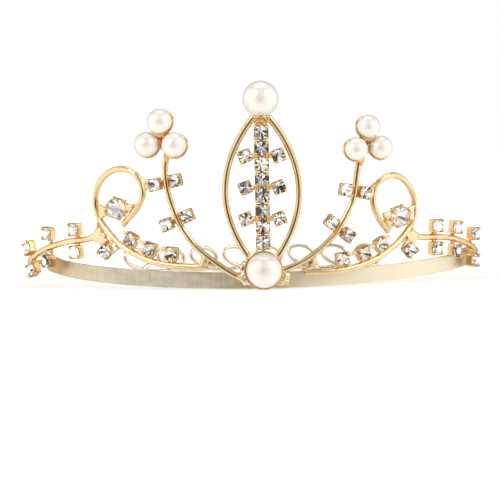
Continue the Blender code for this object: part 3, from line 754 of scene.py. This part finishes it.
def bar(start, end, out, width, thickness):
    """A link bar with rounded edges between two (across, up) places, its back that far off the face."""
    start, end = np.asarray(start, float), np.asarray(end, float)
    middle, along = (start + end) / 2, end - start
    half = np.hypot(*along) / 2
    side, rise = boxy(full_turn(24), 2 / 5)
    y = np.linspace(-half, half, 9)[:, None]
    waist = 1 - 0.12 * np.cos(y / half * math.pi / 2)
    x, z = width / 2 * side * waist, thickness / 2 * rise * waist
    shape = skin(np.stack([x, np.broadcast_to(y, x.shape), z], axis=-1))
    roll = math.atan2(-along[0], along[1])
    return shape.put(facing(*middle, out + thickness / 2, roll))


def cup_wall(profile, outline, dip, risen):
    """A cup's wall: an outline scaled to each (share, height, rise) of a profile.

    The profile goes from the back up the outside, over the rim and down to the pocket's floor. The rim
    dips between the places where the outline has risen.
    """
    return skin(np.stack([
        np.stack([outline[0] * share, outline[1] * share, height - dip * rise * (1 - risen)], axis=-1)[0]
        for share, height, rise in profile]))


def claw(degrees, line, steps, widths, tip, tip_radius):
    """A claw up a cup's wall along a line of (reach, height), with a ball at its tip's reach and height."""
    radial = across_at(degrees)
    path, _ = smooth(np.array([radial * reach + UPRIGHT * height for reach, height in line]), steps)
    aside = np.broadcast_to(np.cross(radial, UPRIGHT), path.shape)
    return [tube(path, aside, np.linspace(*widths, len(path)), around=12),
            ball(tip_radius, radial * tip[0] + UPRIGHT * tip[1], 9, 14)]


def cup_shapes(size):
    """A square cup with a low scalloped rim and four claws that fold over the stone's edge.

    Its outline is the rounded square |x|^p + |y|^p = half^p, and its rim rises towards the corners.
    """
    deep = CUP_DEPTH
    profile = [(0.70, 0.0, 0), (0.86, 0.0, 0), (0.90, 0.04, 0), (0.93, 0.16, 0), (0.965, 0.5, 0),
               (0.985, 1.1, 0), (1.0, deep - 0.5, 0.3), (1.0, deep - 0.16, 1), (0.985, deep - 0.08, 1),
               (0.95, deep - 0.10, 1), (0.92, deep - 0.3, 0.7), (0.86, deep - 0.6, 0),
               (0.6, deep - 1.4, 0)]
    turn = full_turn(64)
    x, y = np.cos(turn), np.sin(turn)
    reach = size / 2 / (np.abs(x) ** CUP_POWER + np.abs(y) ** CUP_POWER) ** (1 / CUP_POWER)
    shapes = [cup_wall(profile, (reach * x, reach * y), 0.30, np.abs(np.sin(2 * turn)) ** 3)]
    thick = CLAW_SHARE * size
    reach = size / 2 - WALL_RIM + thick * 0.75
    line = [(reach + 0.02, deep - 1.0), (reach + 0.05, deep - 0.5), (reach + 0.02, deep - 0.05),
            (reach - 0.10, deep + 0.18)]
    for corner in (45, 135, 225, 315):
        widths = (thick * 0.7, thick * 0.9)
        shapes += claw(corner, line, 4, widths, (reach - 0.06, deep + 0.12), thick)
    return shapes


def brilliant(radius):
    """A round brilliant cut: table, 8 stars, 8 kites, 32 halves, 8 mains. Its girdle is at height 0.

    Corners lie on circles at the table, the stars' points, the girdle's two edges, the lower halves'
    points and the culet. The star and half points are where the kites' and mains' planes put them.
    """
    crown, girdle, culet = 0.36, 0.03, -0.74
    table, star_reach, half_reach = 0.52, 0.80, 0.26
    eighth = math.cos(math.pi / 8)
    star_high = crown - (crown - girdle) * (star_reach * eighth - table) / (1 - table)
    half_high = culet + (-girdle - culet) * half_reach * eighth

    def circle(reach, height, count, phase=0.0):
        turn = (np.arange(count) + phase) * 2 * math.pi / count
        return np.stack([reach * np.cos(turn), reach * np.sin(turn), np.full(count, height)], axis=-1)

    points = np.concatenate([
        circle(table, crown, 8), circle(star_reach, star_high, 8, 0.5), circle(1, girdle, 16),
        circle(1, -girdle, 16), circle(half_reach, half_high, 8, 0.5), [[0, 0, culet]]])
    k = np.arange(8)
    after, before = (k + 1) % 8, (k - 1) % 8
    top, star, upper, lower, low, tip = 0, 8, 16, 32, 48, 56
    j = np.arange(16)
    nxt = (j + 1) % 16
    front_faces = [np.stack(corners[::-1], 1) for corners in (
        (top + k, star + k, top + after),
        (top + k, star + before, upper + 2 * k, star + k),
        (star + k, upper + 2 * k, upper + 2 * k + 1),
        (star + k, upper + 2 * k + 1, upper + (2 * k + 2) % 16),
        (upper + j, lower + j, lower + nxt, upper + nxt))]
    back_faces = [np.stack(corners, 1) for corners in (
        (low + k, lower + 2 * k + 1, lower + 2 * k),
        (low + k, lower + (2 * k + 2) % 16, lower + 2 * k + 1),
        (np.full(8, tip), low + k, lower + 2 * k, low + before))]
    front_faces.insert(0, k[None, :])
    foil = np.repeat([0, 1], [sum(map(len, front_faces)), sum(map(len, back_faces))])
    return Shape(points * radius, front_faces + back_faces), foil


def add_stone(name, place, radius, height, nodes=(), odds=BRIGHT_REFLECTION_ODDS):
    """A stone set at some turn of its own, with painted reflection tones on its foiled facets."""
    shape, foil = brilliant(radius)
    origin, axes = place
    turn = stone_chance.uniform(0, math.pi / 4)
    raised = (origin + axes[:, 2] * height, axes @ spin(turn))
    # Painted reflections: each foiled facet gets a bright or dark tone at random, faintly tinted
    light = stone_chance.choice(FACET_REFLECTION_TONES, len(foil), p=odds)
    if radius == BIG_STONE / 2:
        light = BIG_STONE_DIMMEST + BIG_STONE_SPREAD * light
    tint = 1 + stone_chance.normal(0, 1, (len(foil), 1)) * np.array([0.06, 0.0, -0.06])
    facet_reflections = np.clip(light[:, None] * tint * (1.0, 0.975, 0.94), 0.005, 1)
    piece(name, [shape.put(raised)], [crystal, foil_back], nodes, 0, foil, facet_reflections)


def add_setting(name, place, size, cup_node=(), stone_node=(), odds=BRIGHT_REFLECTION_ODDS):
    """A cup and its stone."""
    gold_piece(f"{name}_cup", [shape.put(place) for shape in cup_shapes(size)], cup_node, cup_gold, 45)
    add_stone(f"{name}_stone", place, size / 2 - WALL_RIM, CUP_DEPTH - GIRDLE_DROP, stone_node, odds)


def dish(pearl, cover):
    """A thin dish under a pearl, centred on it and opening along Z, with a rounded rim."""
    inner = pearl / 2 + DISH_GAP
    outer = pearl / 2 + DISH_WALL
    wall = np.linspace(0.06, 1, 14) * cover
    middle, lip = (inner + outer) / 2, (outer - inner) / 2
    push = np.linspace(0, math.pi, 7)[1:-1]
    reach = np.concatenate([np.full(14, outer), middle + lip * np.cos(push), np.full(14, inner)])
    angle = np.concatenate([wall, cover + lip * np.sin(push) / middle, wall[::-1]])
    return skin(rings((reach * np.sin(angle))[:, None], (-reach * np.cos(angle))[:, None], 64))


def add_pearl(name, diameter, place):
    shape = ball(diameter / 2 - PEARL_SPARE, rows=40, around=64).put(place)
    piece(name, [shape], [pearl_skin], [name], 0).data.shade_smooth()


def make_frame():
    low = frame_middle - frame_reach * FRAME_FOOT
    high = frame_middle + frame_reach * FRAME_REACH_UP
    up = np.linspace(low, high, 140)
    for name, hand in HANDS.items():
        across = hand * frame_half * (1 - ((up - frame_middle) / frame_reach) ** 2)
        path = on_face(across, up, np.full_like(up, wire_out))
        shape = tube(path, outward_at(across), WIRE / 2 * WIRE_SWELL, flat_ends=0.4)
        gold_piece(f"almond_{name}", [shape], [f"marquise_{name}_wire"])


def make_column():
    """Eight linked cups down the middle, three turned pairs beside them, and the solder between."""
    for i in range(COLUMN_CUPS):
        up = column_up + (i - (COLUMN_CUPS - 1) / 2) * COLUMN_STEP
        number = COLUMN_CUPS - i
        add_setting(f"column_{number}", facing(0, up, FACE_GAP), COLUMN_CUP,
                    ["centre_cup_column"], [f"column_stone_{number}"], DARK_REFLECTION_ODDS)
    reach = column_half - COLUMN_CUP * 0.2
    rail = bar((0, column_up - reach - 1.6), (0, column_up + reach + 1.2), FACE_GAP - 0.25, 1.3, 0.6)
    gold_piece("column_rail", [rail], (), cup_gold)
    for i, up in enumerate(side_cup_ups, 1):
        for name, hand in HANDS.items():
            place = facing(hand * side_cup_across, up, FACE_GAP, SIDE_CUP_TURN)
            node = f"side_setting_{name}_{i}"
            add_setting(f"arm_{name}_{i}", place, SMALL_CUP_SHOWN, [node], (), DARK_REFLECTION_ODDS)
        shapes = []
        for hand in (-1, 1):
            meet = hand * (COLUMN_CUP / 2 + FACE_GAP / 2)
            shapes.append(solder(facing(meet, up, FACE_GAP + 1.2), [(0, 0.7), (180, 0.7)], 0.75, 1.5, 5.0))
        solder_piece(f"arm_link_{i}", shapes)


def make_single_pearls():
    """The pearl at the foot of the frame in its dish, and the one on the frame's point with its cap."""
    out = wire_out + WIRE / 2 + FACE_GAP + DISH_WALL + FACE_GAP + PEARL / 2
    place = facing(0, PEARL_UP, out)
    add_pearl("bottom_pearl", PEARL, place)
    askew = facing(-0.13, PEARL_UP - 0.08, out)
    gold_piece("bottom_dish", [dish(PEARL, math.radians(84)).put(askew)], ["bottom_pearl_cup"], dish_gold_painted_shade)
    top = frame_middle + frame_reach * FRAME_TOP
    pearl_up = top + WIRE / 2 + 2 * FACE_GAP + DISH_WALL + PEARL / 2 - 0.4
    place = facing(0, pearl_up, wire_out, tip=math.radians(90))
    add_pearl("top_pearl", PEARL, place)
    shapes = [dish(PEARL, math.radians(21)).put(place)]
    rng = np.random.default_rng(7)
    for row, count in enumerate((6, 7, 6, 5)):
        for k in range(count):
            across = (k - (count - 1) / 2) * BEAD_STEP
            up = pearl_up - PEARL / 2 - 0.25 - BEAD_ROW * row + 0.06 * across * across
            jitter = rng.normal(0, 0.06, 3)
            out = wire_out + 1.15 - 0.10 * across * across - 0.12 * row + jitter[2]
            centre = on_face(across + jitter[0], up + jitter[1], out)
            shapes.append(ball(BEAD_RADIUS + 0.6 * jitter[0], centre, rows=8, around=12))
    gold_piece("top_cap", shapes, ["top_pearl_cap"], cup_gold)
    knot = solder(facing(0, top + 0.2, wire_out - 0.1), [(240, 0.9), (300, 0.9), (90, 0.6)], 1.5, 0.55)
    solder_piece("top_knot", [knot])


def make_cluster(name, side):
    """Three pearls in three joined dishes on the stem's tip."""
    hand = HANDS[name]
    pearl = side["cluster_pearl"]
    across, up = side["cluster"]
    reach = pearl / 2 + FACE_GAP + DISH_WALL
    spread = (pearl + CLUSTER_GAP) / math.sqrt(3)
    out = wire_out + WIRE / 2 + FACE_GAP + reach + 0.4
    dishes = []
    for spot, degrees in {"top": 90, "inner": 210, "outer": 330}.items():
        turn = math.radians(degrees)
        x = hand * across + hand * spread * math.cos(turn)
        place = facing(x, up + spread * math.sin(turn), out, tip=CLUSTER_TIP)
        add_pearl(f"{name}_pearl_{spot}", pearl, place)
        dishes.append(dish(pearl, math.radians(68)).put(place))
    low = up - reach * math.sin(CLUSTER_TIP)
    back = out - reach * math.cos(CLUSTER_TIP)
    drop = solder(facing(hand * across, low, back + 0.1), [(90, 1.3), (210, 1.3), (330, 1.3)], 2.4, 0.4)
    neck = solder(facing(hand * across, up - spread - 1.6, back - 0.7), [(90, 2.2), (270, 0.8)], 0.95, 0.8)
    gold_piece(f"{name}_cluster_dishes", [*dishes, drop, neck], [f"{name}_cluster_cups"], dish_gold_painted_shade)


def degrees_of(x, y):
    return math.degrees(math.atan2(y, x))


def beside(place, direction, swing, reach, lean_by=0.0):
    """The (across, up, roll) of a cup at this reach to one side of a wire's place."""
    heading = math.atan2(direction[1], direction[0]) + swing * math.pi / 2 + lean_by
    return (place[0] + reach * math.cos(heading), place[1] + reach * math.sin(heading),
            heading - math.pi / 2)


def make_pair(name, size, route, station, measure, forward=0.0):
    """Two cups, one on each side of a wire, with a link behind it and solder drawn out to both."""
    target, degrees, spare = station
    lean_by = math.radians(degrees) * route.hand
    place, direction = route.nearest(measure, target)
    base = place[2] - WIRE / 2
    reach = cup_reach(size, lean_by, spare)
    spots = []
    for label, swing in (("first", 1), ("second", -1)):
        x, y, roll = beside(place, direction, swing, reach, lean_by)
        shown = SMALL_CUP_SHOWN if size == SMALL_CUP else size
        add_setting(f"{name}_{label}", facing(x, y, base, roll, forward=forward), shown, [name])
        spots.append(np.array([x, y]))
    inward = unit(spots[1] - spots[0]) * size * 0.3
    shapes = [bar(spots[0] + inward, spots[1] - inward, base - 0.35, width=1.2, thickness=0.75)]
    wire_way = degrees_of(*direction[:2])
    arms = [(degrees_of(*(spot - place[:2])), 0.8) for spot in spots]
    arms += [(wire_way, 1.5), (wire_way + 180, 1.5)]
    shapes.append(solder(facing(*place[:2], base + 0.4), arms, 0.95, 0.7, 5.0))
    solder_piece(f"{name}_link", shapes)


def make_trio(name, side, scroll):
    """Three linked cups along the scroll's tail, the links' stub, and their feet on the wire."""
    reach = cup_reach(CUP, 0, side["trio_spare"])
    spots, shapes = [], []
    for i, target in enumerate(side["trio"], 1):
        place, direction = scroll.nearest(0, target, 8)
        x, y, roll = beside(place, direction, -HANDS[name], reach)
        add_setting(f"{name}_chain_{i}", facing(x, y, FACE_GAP, roll), CUP, [f"{name}_chain_trio"])
        spots.append(np.array([x, y]))
        toward = degrees_of(*(place[:2] - spots[-1]))
        drop = facing((x + place[0]) / 2, (y + place[1]) / 2 - 0.1, FACE_GAP + 0.6)
        shapes.append(solder(drop, [(toward, 1.0), (toward + 70, 0.7), (toward - 70, 0.7)], 0.75, 0.8))
    for first, second in zip(spots, spots[1:]):
        shapes.append(bar(first + (0, 0.65), second + (0, 0.65), FACE_GAP + 0.9, 1.1, 0.9))
    away = unit(spots[0] - spots[1])
    root = spots[0] + (0, 0.7)
    shapes.append(bar(root + away * 1.2, root + away * 3.3, FACE_GAP + 0.8, 1.1, 0.8))
    solder_piece(f"{name}_chain_links", shapes)


def claw_ring(radius, deep):
    """A round collet with a scalloped wall and six claws for the large stone."""
    turn = full_turn(72)
    profile = [(0.55, 0.0, 0), (0.70, 0.0, 0), (0.76, 0.08, 0), (0.86, 0.7, 0), (0.96, 1.4, 0),
               (1.0, deep - 0.5, 0.5), (1.0, deep - 0.1, 1), (0.97, deep, 1), (0.92, deep - 0.05, 1),
               (0.88, deep - 0.3, 0.6), (0.84, deep - 0.7, 0), (0.5, deep - 1.7, 0)]
    outer = radius + 0.42
    outline = (outer * np.cos(turn), outer * np.sin(turn))
    shapes = [cup_wall(profile, outline, 0.5, 0.5 + 0.5 * np.cos(6 * turn))]
    line = [(radius + 0.34, deep - 1.6), (radius + 0.42, deep - 0.8), (radius + 0.36, deep - 0.1),
            (radius + 0.12, deep + 0.25)]
    for degrees in range(0, 360, 60):
        shapes += claw(degrees, line, 5, (0.36, 0.46), (radius + 0.1, deep + 0.2), 0.46)
    return shapes


def make_big_stone(name, side):
    """The large stone in its collet, with a lug out to the scroll and another to the wire's end."""
    hand = HANDS[name]
    across, up = side["big_stone"]
    place = facing(hand * across, up, FACE_GAP, math.radians(17) * hand, forward=BIG_TURN)
    radius = BIG_STONE / 2
    node = f"{name}_claw_setting"
    gold_piece(f"{name}_collet", [s.put(place) for s in claw_ring(radius, BIG_DEPTH)], [node], cup_gold, 45)
    add_stone(f"{name}_crystal", place, radius, BIG_DEPTH - BIG_GIRDLE_DROP, [f"{name}_big_stone"])
    lugs = [web(side["webs"][lug], hand, wire_out + 0.15, 1.3, 0.25) for lug in ("lug", "end")]
    solder_piece(f"{name}_collet_lugs", lugs)


def make_foot(name, side, scroll):
    """The single cup below the scroll, with a bar up to it under the solder."""
    target, spare = side["foot"]
    place, direction = scroll.nearest(0, target, 9)
    x, y, roll = beside(place, direction, HANDS[name], cup_reach(CUP, 0, spare))
    cup = facing(x, y, FACE_GAP, roll, forward=FOOT_CUP_TURN)
    add_setting(f"{name}_foot", cup, CUP, [f"{name}_foot_setting"])
    solder_piece(f"{name}_foot_bar", [bar((x, y), place[:2], FACE_GAP + 0.3, 1.6, 0.9)])


def make_joints(name, side):
    """The solder webs: branch to scroll and foot cup, scroll's tail to stem, and scroll to the top cup."""
    webs = [web(corners, HANDS[name], wire_out + 0.1, 1.5, 0.3)
            for joint, corners in side["webs"].items() if joint not in ("lug", "end")]
    solder_piece(f"{name}_solder", webs)


def make_side(name):
    side = SIDES[name]
    routes = {wire: Route(side[wire], HANDS[name]) for wire in ("stem", "scroll", "branch")}
    for wire, route in routes.items():
        gold_piece(f"{name}_{wire}", [route.shape()], [f"{name}_{wire}_wire"])
    make_cluster(name, side)
    for label, station in zip(("stem_top_pair", "stem_mid_pair"), side["stem_pairs"]):
        make_pair(f"{name}_{label}", SMALL_CUP, routes["stem"], station, 1)
    for i, station in enumerate(side["branch_pairs"], 1):
        make_pair(f"{name}_branch_pair_{i}", CUP, routes["branch"], station, 0, BRANCH_CUP_TURN)
    make_trio(name, side, routes["scroll"])
    make_big_stone(name, side)
    make_foot(name, side, routes["scroll"])
    make_joints(name, side)


def make_seat():
    """Solder behind the bottom pearl, where the frame's feet and both stems meet the band."""
    arms = [(58, 1.6), (122, 1.6), (198, 3.0), (222, 3.0), (338, 2.4), (318, 2.0)]
    seat = solder(facing(0, 4.9, wire_out), arms, 2.6, 0.3, 24.0)
    webs = [web(corners, 1, wire_out + 0.4, 1.8, 0.2, 0.22) for corners in SEAT_WEBS]
    solder_piece("pearl_seat", [seat, *webs])
    ends = []
    for hand in (-1, 1):
        angle = hand * (BAND_END - 0.09)
        ends.append(solder(facing(angle * BAND_RADIUS, BAND_HEIGHT / 2, -BAND_THICKNESS - 0.5),
                           [(0, 2.4), (180, 2.4)], 0.85, 0.8, 8.0))
    solder_piece("band_end_solder", ends)


# ---- Setting


def make_world():
    """A white tent lit through its two side walls, dim at the back, with one dark opening in front.

    A direction's brightness rises with how far it points sideways and falls to almost nothing round the
    opening. The tent itself isn't seen: past the floor there is plain white.
    """
    bpy.context.scene.world = bpy.data.worlds.new("tent")
    paint = Paint(bpy.context.scene.world)
    towards = paint.node("ShaderNodeTexCoord", {})
    near = paint.dot(towards, tuple(unit(np.array(OPENING_AT))))
    open_share = paint.span(near, math.cos(OPENING_OUTER), math.cos(OPENING_INNER))
    rear = paint.span(near, -0.85, -0.35, 0.72, 1.0)
    down = paint.dot(towards, (0.0, 0.0, -1.0))
    sideways = paint.dot(towards, (1.0, 0.0, 0.0))
    lit = paint.span(sideways * sideways, 0.2, 0.85, 0.55, 1.2) + paint.span(down, 0.3, 0.8, 0.0, 0.4)
    tone = paint.node("ShaderNodeVectorMath", {0: TENT_WHITE, "Scale": lit * rear}, operation="SCALE")
    seen = paint.node("ShaderNodeLightPath", {})
    shown = paint.blend(seen, paint.blend(open_share, tone, OPENING_BROWN), (1, 1, 1, 1))
    glow = paint.node("ShaderNodeBackground", {"Color": shown, "Strength": 1.0})
    paint.node("ShaderNodeOutputWorld", {"Surface": glow})


def make_floor():
    """A pale sheet with a light of its own, which grows with distance."""
    rim = FLOOR_HALF
    mesh = bpy.data.meshes.new("floor")
    mesh.from_pydata([(-rim, -rim, 0), (rim, -rim, 0), (rim, rim, 0), (-rim, rim, 0)], [], [(0, 1, 2, 3)])
    paint = new_paint("pale_floor")
    away = paint.node("ShaderNodeVectorMath", {0: paint.object_place()}, 1, operation="LENGTH")
    far = paint.span(away, 0.15, 0.45)
    mesh.materials.append(paint.finish({
        "Base Color": (0.90, 0.90, 0.90, 1),
        "Roughness": 0.6,
        "Emission Color": paint.blend(far, (0.32, 0.32, 0.32, 1), (0.8, 0.8, 0.8, 1)),
        "Emission Strength": 1.0,
    }))
    floor = add_object("floor", mesh)
    floor.visible_glossy = False  # a polished wire mirrors the tent alone


def aim(thing, eye, back, right):
    """Puts a light or camera at a point, with its back and its right hand in these directions."""
    matrix = np.eye(4)
    matrix[:3, :3] = np.stack([right, np.cross(back, right), back], axis=1)
    matrix[:3, 3] = eye
    thing.matrix_world = matrix.T.tolist()


def make_lights():
    for name, place, size, power in (
        ("left_window", (-0.55, -0.50, 0.55), 0.34, 1.3),
        ("right_window", (0.60, -0.45, 0.50), 0.34, 1.3),
        ("overhead", (0.0, 0.15, 0.80), 0.60, 1.0),
    ):
        lamp = bpy.data.lights.new(name, "AREA")
        lamp.shape = "SQUARE"
        lamp.size = size
        lamp.energy = power
        back = unit(np.array(place) - (0.0, 0.02, 0.02))
        aim(add_object(name, lamp), place, back, unit(np.cross(UPRIGHT, back)))


def make_camera():
    """A long lens just above the table, turned so slightly that the right side stands higher."""
    data = bpy.data.cameras.new("camera")
    data.sensor_width = 36.0
    data.lens = 232.0
    data.clip_start, data.clip_end = 0.05, 50.0
    pivot = np.array([0.0, BAND_RADIUS * MM, 0.0])
    eye = CAMERA_DISTANCE * np.array([0.0, -math.cos(CAMERA_RISE), math.sin(CAMERA_RISE)])
    turned = spin(-CAMERA_TURN)
    eye, front = (turned @ (point - pivot) + pivot for point in (eye, np.zeros(3)))
    back = unit(eye - front)
    right = unit(np.cross(UPRIGHT, back))
    up = np.cross(back, right)
    c, s = math.cos(CAMERA_ROLL), math.sin(CAMERA_ROLL)
    right, up = c * right - s * up, s * right + c * up
    back = unit(eye - front - right * CAMERA_SHIFT[0] - up * CAMERA_SHIFT[1])
    camera = add_object("camera", data)
    aim(camera, eye, back, unit(right - back * (right @ back)))
    bpy.context.scene.camera = camera


wire_gold = gold_plate("wire_gold", (0.93, 0.75, 0.46), (0.85, 0.61, 0.31), 0.08, 0.045)
cup_gold = gold_plate("cup_gold", (0.91, 0.69, 0.38), (0.84, 0.54, 0.24), 0.16, 0.10)
# The dishes' gold is deeper and more orange than the cups': painted shade for the shadow in and under the
# dishes
dish_gold_painted_shade = gold_plate("dish_gold_painted_shade", (0.90, 0.62, 0.30), (0.82, 0.46, 0.18), 0.16, 0.06)
solder_gold = gold_plate("solder_gold", (0.92, 0.76, 0.50), (0.88, 0.68, 0.40), 0.22, 0.35)
rear_gold = gold_plate("rear_gold", (0.92, 0.83, 0.67), (0.86, 0.74, 0.55), 0.24, 0.12)
band_satin = brushed_plate()
pearl_skin = pearl_coat()
crystal = clear_crystal()
foil_back = silver_foil()
stone_chance = np.random.default_rng(31)

make_band()
make_rear_wire()
make_frame()
make_column()
make_single_pearls()
for side_name in SIDES:
    make_side(side_name)
make_seat()
make_world()
make_floor()
make_lights()
make_camera()
bpy.context.scene.view_settings.view_transform = "Standard"
